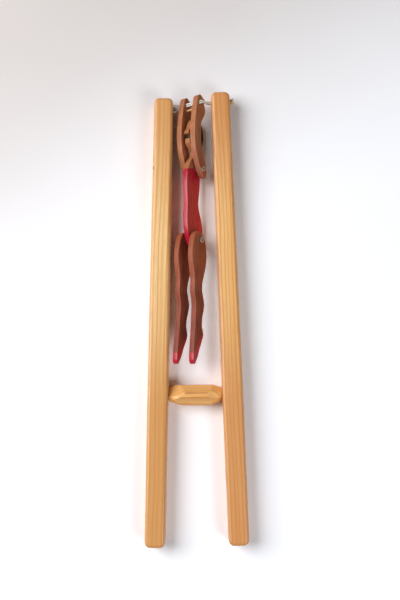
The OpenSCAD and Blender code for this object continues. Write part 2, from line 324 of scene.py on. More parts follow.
def slice_through(
    shape: Shape, place: Sequence[float], way: Sequence[float], clear: bool = False
) -> list[bmesh.types.BMVert | bmesh.types.BMEdge]:
    """Cuts a shape along a plane.

    Args:
        shape: The shape.
        place: A point of the plane.
        way: The direction that the plane faces.
        clear: Whether to take away what lies in that direction.

    Returns:
        The points and edges of the cut.
    """
    everything = shape.verts[:] + shape.edges[:] + shape.faces[:]
    return bmesh.ops.bisect_plane(
        shape, geom=everything, plane_co=place, plane_no=way, clear_outer=clear
    )["geom_cut"]


def round_off(
    shape: Shape, edges: Sequence[bmesh.types.BMEdge], radius: float, segments: int,
    clamp: bool = False,
) -> list[bmesh.types.BMFace]:
    """Rounds edges of a shape.

    Args:
        shape: The shape.
        edges: The edges.
        radius: Distance from an edge to where its rounding starts.
        segments: Faces across a rounding.
        clamp: Whether roundings make room for each other.

    Returns:
        The faces of the roundings.
    """
    return bmesh.ops.bevel(
        shape, geom=edges, offset=radius, offset_type="OFFSET", affect="EDGES", segments=segments,
        profile=0.5, material=-1, clamp_overlap=clamp,
    )["faces"]


def corners(shape: Shape) -> list[bmesh.types.BMEdge]:
    """The edges that make a corner."""
    return [e for e in shape.edges if e.calc_face_angle(0.0) > math.radians(CORNER_DEG)]


def spun(profile: Sequence[tuple[float, float]], closed: bool, steps: int) -> Shape:
    """Turns a profile round the Z axis.

    Args:
        profile: Radius and height of each point, in millimetres.
        closed: Whether the last point joins the first.
        steps: Number of steps of the turn.

    Returns:
        The turned shape.
    """
    shape = bmesh.new()
    points = [shape.verts.new((r, 0, z)) for r, z in profile]
    pairs = list(zip(points, points[1:])) + ([(points[-1], points[0])] if closed else [])
    edges = [shape.edges.new(pair) for pair in pairs]
    bmesh.ops.spin(
        shape, geom=points + edges, cent=(0, 0, 0), axis=(0, 0, 1), angle=math.tau,
        steps=steps, use_merge=True,
    )
    bmesh.ops.remove_doubles(shape, verts=shape.verts, dist=WELD_MM)
    bmesh.ops.recalc_face_normals(shape, faces=shape.faces)
    return shape


def mark_rubbed(shape: Shape, strips: Sequence[bmesh.types.BMFace]) -> None:
    """Marks the middle of rounded strips as rubbed, for the finishes to show.

    Args:
        shape: The shape.
        strips: The faces of its rounded edges.
    """
    rub = shape.verts.layers.float.get("rub") or shape.verts.layers.float.new("rub")
    rounded = set(strips)
    for vert in shape.verts:
        if vert.link_faces and all(face in rounded for face in vert.link_faces):
            vert[rub] = 1.0


def keep_flats(mesh: bpy.types.Mesh, ways: Sequence[Vector]) -> None:
    """Keeps flat sides flat to the eye where they meet rounded edges.

    Args:
        mesh: The mesh.
        ways: The directions that its flat sides face, either way.
    """
    shape = bmesh.new()
    shape.from_mesh(mesh)
    for edge in shape.edges:
        flat = [
            any(abs(face.normal.dot(way)) > SQUARE_ON for way in ways) for face in edge.link_faces
        ]
        if any(flat) and not all(flat):
            edge.smooth = False
    shape.to_mesh(mesh)
    shape.free()


def settle(
    piece: Thing, body: Body | None, node: str, slot: Slot, material: bpy.types.Material
) -> Thing:
    """Dresses a piece and hands it to the frame.

    Args:
        piece: The piece, in place.
        body: The body that it rides on, or none if it hangs between two.
        node: The solid that it stands for.
        slot: The material slot of its finish; not used.
        material: Its material.

    Returns:
        The piece.
    """
    piece.data.materials.clear()
    piece.data.materials.append(material)
    if body:
        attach(piece, body.value)
    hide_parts(node)
    log.info("%s: %d faces", piece.name, len(piece.data.polygons))
    return piece


# Finishes


@dataclass(frozen=True)
class HoneyPine:
    """Planed pine under a clear finish that has gone amber."""

    name: str
    pith_mm: tuple[float, float, float]
    lean_deg: float = 0.0
    spring_wood: str = "#FFD798"
    summer_wood: str = "#DD964A"
    fibre_tint: str = "#CC8A42"
    amber_tint: str = "#E6A555"
    # Tint of rubbed edges, and of the painted shade towards the ends of a rail
    wear_and_falloff_tint: str = "#C48A50"
    handled_share: float = 1.0
    paint_speck: str = "#9E2430"
    ring_mm: float = 2.0
    beat: float = 0.63
    ring_relief: float = 0.5
    sway_mm: float = 5.0
    wander_mm: tuple[float, float] = (40.0, 200.0)
    streak_mm: float = 5.0
    streak_long: float = 0.03
    fibre_mm: float = 0.45
    fibre_long: float = 30.0
    # Middle and reach of the painted light falloff along Y: pale in the middle, painted deeper amber
    # towards the ends
    painted_falloff_mm: tuple[float, float] | None = None
    specks_mm: tuple[tuple[float, float, float, float], ...] = ()

    def make(self) -> bpy.types.Material:
        """Straight grain: pale spring wood, darker summer lines, fine fibres and a satin gloss."""
        material, nodes, shader, place = new_material(self.name)
        turned = nodes.add(
            "ShaderNodeMapping",
            {
                "Vector": place, "Location": Vector(self.pith_mm) * MM,
                "Rotation": (0, 0, math.radians(self.lean_deg)),
            },
            vector_type="TEXTURE",
        )
        # The tree's rings wander slowly, less along the grain than across it
        across, along = (1 / (size * MM) for size in self.wander_mm)
        sway = nodes.grain(turned, across, along, out="Color")
        bent = nodes.add(
            "ShaderNodeVectorMath", {0: sway, 1: (self.sway_mm * MM,) * 3, 2: turned},
            operation="MULTIPLY_ADD",
        )
        # No two years grow alike: a second, closer beat makes some rings stronger
        rings, beat = (
            nodes.add(
                "ShaderNodeTexWave",
                {"Vector": bent, "Scale": WAVE_PITCH / (share * self.ring_mm * MM)},
                "Fac", wave_type="RINGS", rings_direction="Y", wave_profile=profile,
            )
            for share, profile in ((1.0, "SAW"), (self.beat, "SIN"))
        )
        years = nodes.maths("MULTIPLY", rings, nodes.ramp(beat, start=0.65))
        summer = nodes.ramp(years, low=0.3, high=0.95, end=0.8, curve="SMOOTHSTEP")
        # Fibres are 0.05 mm wide: drawn as coarse as they need to show
        thin = 1 / (self.fibre_mm * MM)
        fibre = nodes.grain(bent, thin, thin / self.fibre_long, detail=3.0, rough=0.6)
        # Bands of deeper amber, some millimetres wide and a hand long
        wide = 1 / (self.streak_mm * MM)
        tone = nodes.grain(bent, wide, self.streak_long * wide)
        streaks = nodes.ramp(fibre, low=0.48, high=0.78, end=0.5)
        amber = nodes.ramp(tone, low=0.42, high=0.75, end=0.6)
        wear_and_painted_falloff = nodes.maths("MULTIPLY", nodes.rubbed(), fibre)
        wear_and_painted_falloff = nodes.maths("MULTIPLY", wear_and_painted_falloff, self.handled_share)
        if self.painted_falloff_mm:
            # Painted light falloff: the middle stays pale where the light is strongest, and both ends are
            # painted a deeper amber as painted shade
            middle, reach = self.painted_falloff_mm
            away = nodes.reach(place, (0, 1 / (reach * MM), 0))
            away = nodes.maths("ABSOLUTE", nodes.maths("SUBTRACT", away, middle / reach))
            painted_falloff = nodes.ramp(away, low=0.1, end=0.6, curve="SMOOTHSTEP")
            wear_and_painted_falloff = nodes.maths("MAXIMUM", wear_and_painted_falloff, painted_falloff)
        colour = srgb(self.spring_wood)
        for share, tint in (
            (summer, self.summer_wood), (streaks, self.fibre_tint), (amber, self.amber_tint),
            (wear_and_painted_falloff, self.wear_and_falloff_tint),
        ):
            colour = nodes.mix(share, colour, srgb(tint))
        for x, y, z, size in self.specks_mm:
            away = nodes.add(
                "ShaderNodeVectorMath", {0: place, 1: Vector((x, y, z)) * MM}, "Value",
                operation="DISTANCE",
            )
            ragged = nodes.maths("MULTIPLY_ADD", fibre, size * MM, away)
            rim = size * MM
            speck = nodes.ramp(ragged, low=1.2 * rim, high=1.4 * rim, start=0.9, end=0.0)
            colour = nodes.mix(speck, colour, srgb(self.paint_speck))
        relief = nodes.maths("MULTIPLY_ADD", summer, self.ring_relief, fibre)
        nodes.feed(shader, {
            "Base Color": colour, "Roughness": nodes.ramp(fibre, start=0.36, end=0.56),
            "Normal": nodes.bump(relief, strength=0.3, deep_mm=0.12), "IOR": VARNISH_IOR,
            "Coat Weight": 0.35, "Coat Roughness": 0.22,
        })
        return material


@dataclass(frozen=True)
class PaintZone:
    """A brushed area: where ahead * x + up * y stays under a limit, for each of its edges."""

    colour: str
    edges_mm: tuple[tuple[float, float, float], ...]
    gloss: float = 1.0


@dataclass(frozen=True)
class StainedBoard:
    """Thin sawn board, sanded, stained brown and varnished, with brushed enamel areas."""

    name: str
    place_mm: Vector
    turn: Euler
    zones: tuple[PaintZone, ...] = ()
    stain: str = "#BE7C52"
    deep_stain: str = "#98573A"
    worn_edge: str = "#CC9166"
    # Darkening towards one end of the limb: painted shade on the right arm, darker feet on the legs
    end_darkening_tint: str = "#A05C48"
    end_darkening_mm: tuple[float, float] | None = None
    enamel_dark: float = 0.9
    grain_mm: float = 0.8
    grain_long: float = 0.04
    brush_mm: float = 1.8
    brush_long: float = 0.07
    waver_mm: float = 0.9
    edge_mm: tuple[float, float] = (0.3, 0.6)
    coat: float = 0.05
    enamel_coat: float = 0.45

    def make(self) -> bpy.types.Material:
        """Brown grain along the limb, paler rubbed edges, and gloss paint with brush marks."""
        material, nodes, shader, place = new_material(self.name)
        local = nodes.add(
            "ShaderNodeMapping",
            {
                "Vector": place, "Location": self.place_mm * MM, "Rotation": self.turn,
                "Scale": (MM, MM, MM),
            },
            vector_type="TEXTURE",
        )
        grain = nodes.grain(
            local, 1 / self.grain_mm, self.grain_long / self.grain_mm, detail=4.0, rough=0.65
        )
        patch = nodes.cloud(local, scale=0.09)
        colour = srgb(self.stain)
        if self.end_darkening_mm:
            # Darker towards one end: on the right arm this is painted shade towards the shoulder, where
            # the arm turns away from the lamp; on the legs it is darker towards the feet
            end_darkening = nodes.ramp(nodes.reach(local, (0, 1, 0)), *self.end_darkening_mm)
            colour = nodes.mix(end_darkening, colour, srgb(self.end_darkening_tint))
        for share, tint in (
            (nodes.ramp(grain, low=0.4, high=0.7, end=0.85), self.deep_stain),
            (nodes.ramp(patch, low=0.4, high=0.7, end=0.5), self.deep_stain),
            (nodes.maths("MULTIPLY", nodes.rubbed(), patch), self.worn_edge),
        ):
            colour = nodes.mix(share, colour, srgb(tint))
        # Hand-brushed edges waver by a few tenths of a millimetre
        waver = nodes.cloud(local, scale=0.55)
        brush = nodes.grain(local, 1 / self.brush_mm, self.brush_long / self.brush_mm)
        painted = 0.0
        for zone in self.zones:
            inside = 1.0
            for ahead, up, limit in zone.edges_mm:
                level = nodes.reach(local, (ahead, up, 0))
                wavy = nodes.maths("MULTIPLY_ADD", waver, self.waver_mm, level)
                full, bare = (limit + edge for edge in self.edge_mm)
                under = nodes.ramp(wavy, low=full, high=bare, start=1.0, end=0.0)
                inside = nodes.maths("MULTIPLY", inside, under)
            thick = srgb(zone.colour)
            thin = (*(c * self.enamel_dark for c in thick[:3]), 1.0)
            colour = nodes.mix(inside, colour, nodes.mix(brush, thick, thin))
            shine = nodes.maths("MULTIPLY", inside, zone.gloss)
            painted = nodes.maths("MAXIMUM", painted, shine)
        satin = nodes.ramp(grain, start=0.42, end=0.6)
        shiny = nodes.ramp(brush, start=0.24, end=0.32)
        relief = nodes.fade(painted, grain, nodes.ramp(brush, start=0.9, end=1.02))
        nodes.feed(shader, {
            "Base Color": colour, "Roughness": nodes.fade(painted, satin, shiny),
            "Normal": nodes.bump(relief, strength=0.25, deep_mm=0.12), "IOR": VARNISH_IOR,
            "Specular IOR Level": 0.3, "Coat Roughness": 0.2,
            "Coat Weight": nodes.ramp(painted, start=self.coat, end=self.enamel_coat),
        })
        return material


@dataclass(frozen=True)
class BrightSteel:
    """Drawn or rolled steel, bright, with a little handling dirt."""

    name: str
    metal: str = "#C9C9C6"
    dirt: str = "#7D7770"
    dirt_mm: float = 0.9

    def make(self) -> bpy.types.Material:
        """Grey metal with soft reflections, duller where dirt sits."""
        material, nodes, shader, place = new_material(self.name)
        cloud = nodes.cloud(place, scale=1 / (self.dirt_mm * MM), detail=4.0)
        dirty = nodes.ramp(cloud, low=0.5, high=0.75, end=0.7)
        nodes.feed(shader, {
            "Base Color": nodes.mix(dirty, srgb(self.metal), srgb(self.dirt)),
            "Roughness": nodes.ramp(cloud, start=0.18, end=0.5),
            "Normal": nodes.bump(cloud, strength=0.15, deep_mm=0.05), "Metallic": 1.0,
        })
        return material


@dataclass(frozen=True)
class CottonTwine:
    """Three-ply twisted cotton, unbleached and a little soiled."""

    name: str = "twisted_cotton"
    fibre: str = "#FFFCF4"
    soiled: str = "#EADFC8"
    fibre_mm: float = 0.22
    soil_mm: float = 3.0

    def make(self) -> bpy.types.Material:
        """Matt off-white fibres, soiled in patches."""
        material, nodes, shader, place = new_material(self.name)
        # Cotton fibres are 0.02 mm: drawn as coarse as they need to show
        fuzz = nodes.cloud(place, scale=1 / (self.fibre_mm * MM), detail=3.0)
        patch = nodes.cloud(place, scale=1 / (self.soil_mm * MM))
        share = nodes.ramp(nodes.maths("MULTIPLY", fuzz, patch), low=0.15, high=0.4, end=0.8)
        nodes.feed(shader, {
            "Base Color": nodes.mix(share, srgb(self.fibre), srgb(self.soiled)), "Roughness": 0.9,
            "Normal": nodes.bump(fuzz, strength=0.6, deep_mm=0.08), "Sheen Weight": 0.3,
            "Sheen Roughness": 0.5, "Specular IOR Level": 0.25,
        })
        return material


@dataclass(frozen=True)
class TableTop:
    """Smooth white laminate, matt, which takes the shadows."""

    name: str = "white_laminate"
    colour: str = "#F6F8FE"
    # Colour, direction and span of the painted shade towards the far left, where the light falls off
    far_shade: str = "#CCC6C4"
    far_shade_way: tuple[float, float, float] = (-0.45, 0.9, 0.0)
    far_shade_mm: tuple[float, float] = (40.0, 300.0)
    uneven: float = 0.05
    lift: float = 1.25

    def make(self) -> bpy.types.Material:
        """Near-white sheet, painted greyer towards the far left as painted shade, and brighter to the eye
        than to the toy.
        """
        material, nodes, shader, place = new_material(self.name)
        # Painted shade: the sheet is painted greyer towards the far left, where the light falls off
        far = nodes.maths(
            "MULTIPLY_ADD", nodes.cloud(place, scale=6.0), self.uneven,
            nodes.reach(place, self.far_shade_way),
        )
        near, beyond = (distance * MM for distance in self.far_shade_mm)
        far_shaded = nodes.ramp(far, low=near, high=beyond, curve="SMOOTHSTEP")
        colour = nodes.mix(far_shaded, srgb(self.colour), srgb(self.far_shade))
        seen = 0.0
        for ray in ("Is Camera Ray", "Is Glossy Ray", "Is Transmission Ray"):
            seen = nodes.maths("MAXIMUM", seen, nodes.add("ShaderNodeLightPath", out=ray))
        gain = nodes.ramp(seen, start=1.0, end=self.lift)
        bright = nodes.add("ShaderNodeVectorMath", {0: colour, "Scale": gain}, operation="SCALE")
        nodes.feed(shader, {"Base Color": bright, "Roughness": 0.7, "Specular IOR Level": 0.2})
        return material


# The wooden frame


@dataclass
class Rail:
    """One of the two long rails that the hand squeezes."""

    side: Side
    length: float
    nail_height: float
    holes: tuple[tuple[float, float], ...]
    finish: HoneyPine
    top_width: float = 14.5
    mid_width: float = 15.6
    grip_width: float = 14.8
    depth: float = 16.5
    edge_r: float = 2.6
    end_r: float = 4.0
    splay_deg: float = 1.5
    nail_hole_d: float = 3.2
    recess_d: float = 6.0
    recess: float = 1.55
    groove: float = 0.0
    groove_wide: float = 2.4
    station: float = 11.0
    waver: float = 0.12
    wave: float = 34.0
    wave_across: float = 9.0

    def matrix(self) -> Matrix:
        """Place of the rail's own frame, which is counted from its nail at the table."""
        nail = joint_place("squeeze" if self.side is Side.LEFT else "right_rail_rock")
        nail.z = 0.0
        turn = Matrix.Rotation(math.radians(self.side.value * self.splay_deg), 4, "Z")
        return Matrix.Translation(nail) @ turn

    def half_width(self, height: float) -> float:
        """Half the rail's width at a height above its nail."""
        share = height / (self.length - self.nail_height)
        return (self.mid_width + (self.top_width - self.mid_width) * share) / 2

    def blank(self) -> Shape:
        """Shapes the rail: a tapered bar with rounded edges, planed a little unevenly.

        Returns:
            The rail in its own frame, without holes.
        """
        shape = block((self.mid_width, self.length, self.depth))
        middle = self.length / 2 - self.nail_height
        bmesh.ops.translate(shape, vec=(0, middle, self.depth / 2), verts=shape.verts)
        for end, width in ((1, self.top_width), (-1, self.grip_width)):
            tips = [v for v in shape.verts if (v.co.y - middle) * end > 0]
            bmesh.ops.scale(shape, vec=(width / self.mid_width, 1, 1), verts=tips)
        for part in slice_through(shape, (0, 0, 0), (0, 1, 0)):
            if isinstance(part, bmesh.types.BMVert):
                part.co.x = math.copysign(self.mid_width / 2, part.co.x)
        near = 1.0
        for end in (1, -1):
            upright = [
                e for e in shape.edges
                if abs(e.verts[0].co.z - e.verts[1].co.z) > near
                and all((v.co.y - middle) * end > self.length / 2 - near for v in e.verts)
            ]
            round_off(shape, upright, self.end_r, segments=8)
        mark_rubbed(shape, round_off(shape, corners(shape), self.edge_r, segments=6))
        count = int(self.length / self.station)
        for i in range(1, count):
            slice_through(shape, (0, self.length * i / count - self.nail_height, 0), (0, 1, 0))
        self.plane(shape)
        return shape

    def plane(self, shape: Shape) -> None:
        """Lets the faces sway and dip a little, as a hand plane leaves them.

        Args:
            shape: The rail in its own frame.
        """
        # Places in the noise, far enough apart that no two faces are alike
        apart, face_row, sway_row, dip_row = 40, 0.3, 0.7, 5.1
        for vert in shape.verts:
            step = vert.co.y / self.wave + apart * self.side.value
            sway = noise.noise(Vector((step, face_row * math.copysign(1, vert.co.x), sway_row)))
            dip = noise.noise(Vector((step, dip_row, vert.co.x / self.wave_across)))
            vert.co.x += self.waver * sway
            if vert.co.z > self.depth / 2:
                vert.co.z += self.waver * min(dip, 0.0)

    def cutters(self) -> list[Shape]:
        """Shapes of the nail hole, the recess for its head, the string holes and the groove.

        Returns:
            The shapes to cut away, in the rail's own frame.
        """
        half, through = self.depth / 2, 3 * self.mid_width
        bores = [
            (0.0, 0.0, self.nail_hole_d, through),
            (self.side.value * self.mid_width / 2, 0.0, self.recess_d, 2 * self.recess),
            *((0.0, height, size, through) for height, size in self.holes),
        ]
        shapes = []
        for x, height, size, reach in bores:
            bore = bmesh.new()
            bmesh.ops.create_cone(
                bore, cap_ends=True, segments=40, radius1=size / 2, radius2=size / 2, depth=reach,
                matrix=Matrix.Translation((x, height, half)) @ Matrix.Rotation(math.pi / 2, 4, "Y"),
            )
            shapes.append(bore)
        if self.groove:
            top, low = self.holes[0][0], self.holes[1][0]
            slot = block((2 * self.groove, top - low, self.groove_wide))
            wall = self.side.value * self.half_width(top)
            shapes.append(lay(slot, Matrix.Translation((wall, (top + low) / 2, half))))
        return shapes

    def drill(self, wood: Thing) -> None:
        """Cuts the holes, the recess and the groove out of the rail.

        Args:
            wood: The rail's object, in place.
        """
        tools = [to_object(lay(shape, self.matrix()), "tool") for shape in self.cutters()]
        for tool in tools:
            change = wood.modifiers.new("cut", "BOOLEAN")
            change.operation = "DIFFERENCE"
            change.solver = "EXACT"
            change.object = tool
        cut = baked_mesh(wood)
        wood.modifiers.clear()
        wood.data = cut
        wood.data.set_sharp_from_angle(angle=math.radians(SHARP_DEG))
        keep_flats(wood.data, self.matrix().to_3x3().col)
        for tool in tools:
            bpy.data.objects.remove(tool)

    def build(self) -> Thing:
        """Makes the rail and dresses it.

        Returns:
            The finished rail.
        """
        node = f"{self.side.word}_rail"
        wood = to_object(lay(self.blank(), self.matrix()), f"{node}_wood")
        self.drill(wood)
        return settle(wood, Body(node), node, Slot.HONEY_WOOD, self.finish.make())


@dataclass(frozen=True)
class KnifeCut:
    """One flat cut along the bar: how far out it passes at a place, and its slope towards +X."""

    turn_deg: float
    out: float
    at: float = 0.0
    slope: float = 0.0


@dataclass
class Crossbar:
    """The whittled bar between the rails and the two nails that the rails rock on."""

    length: float = 39.8
    thick: float = 15.4
    knife_r: float = 0.7
    lengthwise: float = 0.05
    rail_width: float = 15.6
    rock_gap: float = 0.35
    nail_d: float = 2.4
    nail_bite: float = 14.0
    nail_head_d: float = 5.2
    nail_head: float = 1.0
    nail_sink: float = 0.2
    cuts: tuple[KnifeCut, ...] = (
        KnifeCut(-2, 7.66), KnifeCut(45, 6.75), KnifeCut(90, 7.68), KnifeCut(136, 7.1),
        KnifeCut(180, 7.62), KnifeCut(224, 7.05), KnifeCut(270, 7.66), KnifeCut(315, 6.8),
        # Left end: a long stroke over the upper front, one beside it, others round it
        KnifeCut(34, 6.66, -9.4, -0.36), KnifeCut(6, 6.9, -13.2, -0.38),
        KnifeCut(100, 7.5, -15.0, -0.55), KnifeCut(140, 6.8, -13.0, -0.42),
        KnifeCut(182, 7.4, -13.2, -0.45), KnifeCut(228, 6.8, -11.0, -0.36),
        KnifeCut(268, 7.66, -9.4, -0.31), KnifeCut(306, 6.9, -13.2, -0.36),
        KnifeCut(338, 6.8, -15.0, -0.52),
        # Right end: strokes side by side over the front, others round it and two below
        KnifeCut(2, 7.66, 9.8, 0.34), KnifeCut(45, 6.75, 12.0, 0.34),
        KnifeCut(92, 7.6, 13.4, 0.34), KnifeCut(136, 6.8, 12.6, 0.4),
        KnifeCut(184, 7.4, 13.0, 0.45), KnifeCut(226, 6.8, 10.6, 0.34),
        KnifeCut(268, 7.6, 10.5, 0.34), KnifeCut(268, 5.4, 17.3, 0.9),
        KnifeCut(315, 6.8, 12.2, 0.32),
    )

    def centre(self) -> Vector:
        """Middle of the bar."""
        return (joint_place("squeeze") + joint_place("right_rail_rock")) / 2

    def bar(self) -> Shape:
        """Whittles the bar out of a square one, one flat cut after the other.

        Returns:
            The bar in its place.
        """
        shape = block((self.length, self.thick, self.thick))
        for cut in self.cuts:
            turn = math.radians(cut.turn_deg)
            out = Vector((0, math.sin(turn), math.cos(turn)))
            place = out * cut.out + Vector((cut.at, 0, 0))
            way = (out + Vector((cut.slope, 0, 0))).normalized()
            cut_through = slice_through(shape, place, way, clear=True)
            rim = [part for part in cut_through if isinstance(part, bmesh.types.BMEdge)]
            if rim:
                bmesh.ops.edgeloop_fill(shape, edges=rim)
        bmesh.ops.recalc_face_normals(shape, faces=shape.faces)
        strips = set(round_off(shape, shape.edges[:], self.knife_r, segments=3, clamp=True))
        # The knife's long edges have gone dark with handling, the short ones haven't
        rub = shape.loops.layers.float.new("rub")
        for face in strips:
            if abs(face.normal.x) < self.lengthwise:
                for loop in face.loops:
                    loop[rub] = float(all(other in strips for other in loop.vert.link_faces))
        for edge in shape.edges:
            if len({face in strips for face in edge.link_faces}) == 2:
                edge.smooth = False
        return lay(shape, Matrix.Translation(self.centre()))

    def nail(self, side: Side) -> Shape:
        """Turns a wire nail with a flat head, pointing into the bar.

        Args:
            side: The rail that it goes through.

        Returns:
            The nail in its place.
        """
        grip = self.rock_gap + self.rail_width - self.nail_sink - self.nail_head
        tip = grip + self.nail_bite
        r, head = self.nail_d / 2, self.nail_head_d / 2
        shape = spun(
            [
                (0, -0.94 * self.nail_head), (0.6 * head, -self.nail_head),
                (0.9 * head, -0.9 * self.nail_head), (head, -0.55 * self.nail_head),
                (0.97 * head, -0.1 * self.nail_head), (0.8 * head, 0), (r, 0),
                (r, tip - 4 * r), (0.16 * r, tip), (0, tip),
            ],
            closed=False, steps=40,
        )
        start = self.centre() + Vector((side.value * (self.length / 2 + grip), 0, 0))
        turn = Matrix.Rotation(-side.value * math.pi / 2, 4, "Y")
        return lay(shape, Matrix.Translation(start) @ turn)

    def build(self) -> list[Thing]:
        """Makes the bar and its nails and dresses them.

        Returns:
            The finished pieces.
        """
        pine = HoneyPine(
            "whittled_pine", pith_mm=(0, -45, -34), lean_deg=92, ring_mm=2.6, sway_mm=3.0,
            spring_wood="#FFC67C", summer_wood="#E8A150", wear_and_falloff_tint="#A2360A",
            handled_share=1.5,
        )
        steel = BrightSteel("wire_nail_steel").make()
        wood = to_object(self.bar(), "crossbar_wood")
        pieces = [settle(wood, Body.BAR, "crossbar", Slot.HONEY_WOOD, pine.make())]
        for side in Side:
            nail = to_object(self.nail(side), f"{side.word}_nail_steel")
            pieces.append(settle(nail, Body.BAR, f"{side.word}_pivot_nail", Slot.STEEL, steel))
        return pieces


# The figure


Holes = Sequence[tuple[float, float, float]]


@dataclass
class Figure:
    """The jointed acrobat: arms, torso with head, and legs, cut from thin board."""

    twist_deg: float = 36.0
    board: float = 4.5
    pitch: float = 13.0
    edge_r: float = 0.42
    arm_reach: float = 52.3
    hand_forward: float = 3.4
    torso_reach: float = 56.0
    hip_forward: float = 3.3
    left_leg_lean_deg: float = 1.9
    weld: float = 1e-3
    flat_deg: float = 0.4
    hole_rim: float = 0.15
    string_hole_r: float = 1.7
    dowel_forward: float = 2.4
    dowel_drop: float = 4.3
    dowel_d: float = 2.0
    dowel_hole_r: float = 1.1
    dowel_length: float = 11.5
    dowel_rough: float = 0.04
    dowel_wave: tuple[float, float] = (0.8, 0.5)
    rivet_d: float = 3.0
    rivet_room: float = 0.2
    rivet_hole_d: float = 1.7
    rivet_head_d: float = 4.8
    rivet_head: float = 0.8
    bead_tuck: float = 0.15
    head_gap: float = 0.15

    def place(self, ahead: float, up: float, lateral: float) -> Vector:
        """A place on the figure, counted from the shoulder rivet.

        Args:
            ahead: Distance forward of the rivet.
            up: Distance above it, towards the hands.
            lateral: Distance to the figure's right.

        Returns:
            The place in the toy's frame.
        """
        turn = math.radians(self.twist_deg)
        across = Vector((math.cos(turn), 0, math.sin(turn)))
        forward = Vector((-math.sin(turn), 0, math.cos(turn)))
        return joint_place("torso_swing") + Vector((0, up, 0)) + ahead * forward + lateral * across

    def hand(self, side: Side, out: float = 0.0, up: float = 0.0) -> Vector:
        """A place at a hand's string hole, out from its outer face and above its middle."""
        reach = (self.pitch + self.board) / 2
        return self.place(self.hand_forward, self.arm_reach + up, side.value * (reach + out))

    def turn(self, lean_deg: float = 0.0) -> Matrix:
        """Turn of a board: local X looks forward, Y up and Z to the figure's left."""
        stand = Matrix.Rotation(math.radians(-90 - self.twist_deg), 4, "Y")
        return stand @ Matrix.Rotation(math.radians(lean_deg), 4, "Z")

    def soft_board(self, node: str, finish: StainedBoard, lean_deg: float, holes: Holes) -> Shape:
        """Copies a board of the frame and sands its outline round.

        Args:
            node: The board's node.
            finish: Its finish, which knows the place of its rivet.
            lean_deg: Lean of the board about that rivet.
            holes: Forward and upward place and radius of each hole, left crisp.

        Returns:
            The sanded board in its place.
        """
        shape = bmesh.new()
        shape.from_mesh(frame["nodes"][node].data)
        bmesh.ops.scale(shape, vec=(1 / MM,) * 3, verts=shape.verts)
        bmesh.ops.remove_doubles(shape, verts=shape.verts, dist=self.weld)
        bmesh.ops.dissolve_limit(
            shape, angle_limit=math.radians(self.flat_deg), verts=shape.verts, edges=shape.edges
        )
        inward = (Matrix.Translation(finish.place_mm) @ self.turn(lean_deg)).inverted()

        def at_hole(vert: bmesh.types.BMVert) -> bool:
            """Whether a point lies at the rim of one of the holes."""
            spot = inward @ vert.co
            return any(math.hypot(spot.x - x, spot.y - y) < r + self.hole_rim for x, y, r in holes)

        rim = [e for e in corners(shape) if not all(map(at_hole, e.verts))]
        mark_rubbed(shape, round_off(shape, rim, self.edge_r, segments=4))
        return shape

    def rivet(self, centre: Vector) -> Shape:
        """Turns a hollow rivet with a rolled head at each end.

        Args:
            centre: Middle of the rivet.

        Returns:
            The rivet in its place.
        """
        half = (self.pitch + self.board) / 2 + self.head_gap
        rim = self.rivet_head / 2
        bore, shank, head = self.rivet_hole_d / 2, self.rivet_d / 2, self.rivet_head_d / 2
        middle, reach = (bore + head) / 2, (head - bore) / 2
        # A rolled head: an oval bead round the bore
        bead = [
            (middle - reach * math.cos(a), half + rim + rim * math.sin(a))
            for a in (math.pi * i / 10 for i in range(11))
        ]
        top = bead + [(head - self.bead_tuck, half), (shank, half)]
        profile = top + [(r, -z) for r, z in reversed(top)]
        shape = spun(profile, closed=True, steps=48)
        return lay(shape, Matrix.Translation(centre) @ self.turn())

    def dowel(self) -> Shape:
        """Cuts the thin dowel between the palms.

        Returns:
            The dowel in its place.
        """
        shape = bmesh.new()
        r = self.dowel_d / 2
        bmesh.ops.create_cone(
            shape, cap_ends=True, segments=24, radius1=r, radius2=r, depth=self.dowel_length
        )
        shape.verts.layers.float.new("rub")
        for i in range(1, 10):
            slice_through(shape, (0, 0, self.dowel_length * (i / 10 - 0.5)), (0, 0, 1))
        across, along = self.dowel_wave
        for vert in shape.verts:
            x, y, z = vert.co
            wild = noise.noise(Vector((across * x, across * y, along * z)))
            vert.co.x *= 1 + self.dowel_rough * wild
            vert.co.y *= 1 + self.dowel_rough * wild
        centre = self.place(self.dowel_forward, self.arm_reach - self.dowel_drop, 0)
        return lay(shape, Matrix.Translation(centre) @ self.turn())

    def limb(
        self, node: str, body: Body, slot: Slot, finish: StainedBoard, holes: Holes, lean_deg: float = 0.0
    ) -> Thing:
        """Makes one board of the figure and dresses it.

        Args:
            node: The board's node.
            body: The body that it rides on.
            slot: Its material slot.
            finish: Its finish, which knows the place of its rivet.
            holes: Forward and upward place and radius of each hole.
            lean_deg: Lean of the board about its rivet.

        Returns:
            The finished limb.
        """
        piece = to_object(self.soft_board(node, finish, lean_deg, holes), f"{node}_board")
        keep_flats(piece.data, [self.turn(lean_deg) @ Vector((0, 0, 1))])
        return settle(piece, body, node, slot, finish.make())

    def boards(self) -> list[Thing]:
        """Makes the arms, the torso with the head, and the legs.

        Returns:
            The finished boards.
        """
        pin_r = self.rivet_d / 2 + self.rivet_room
        pin, hip_pin = (0.0, 0.0, pin_r), (self.hip_forward, -self.torso_reach, pin_r)
        palm = (
            pin, (self.hand_forward, self.arm_reach, self.string_hole_r),
            (self.dowel_forward, self.arm_reach - self.dowel_drop, self.dowel_hole_r),
        )
        red, black = "#BE1B33", "#15110F"
        shoe = PaintZone(red, ((1.3, 1.0, -71.3), (0.0, 1.0, -67.0)))
        shirt = PaintZone(red, ((0.1667, 1.0, 1.2),))
        hair = PaintZone(black, ((1.0, -0.3, -9.9), (0.0, -1.0, -15.0)), gloss=0.3)
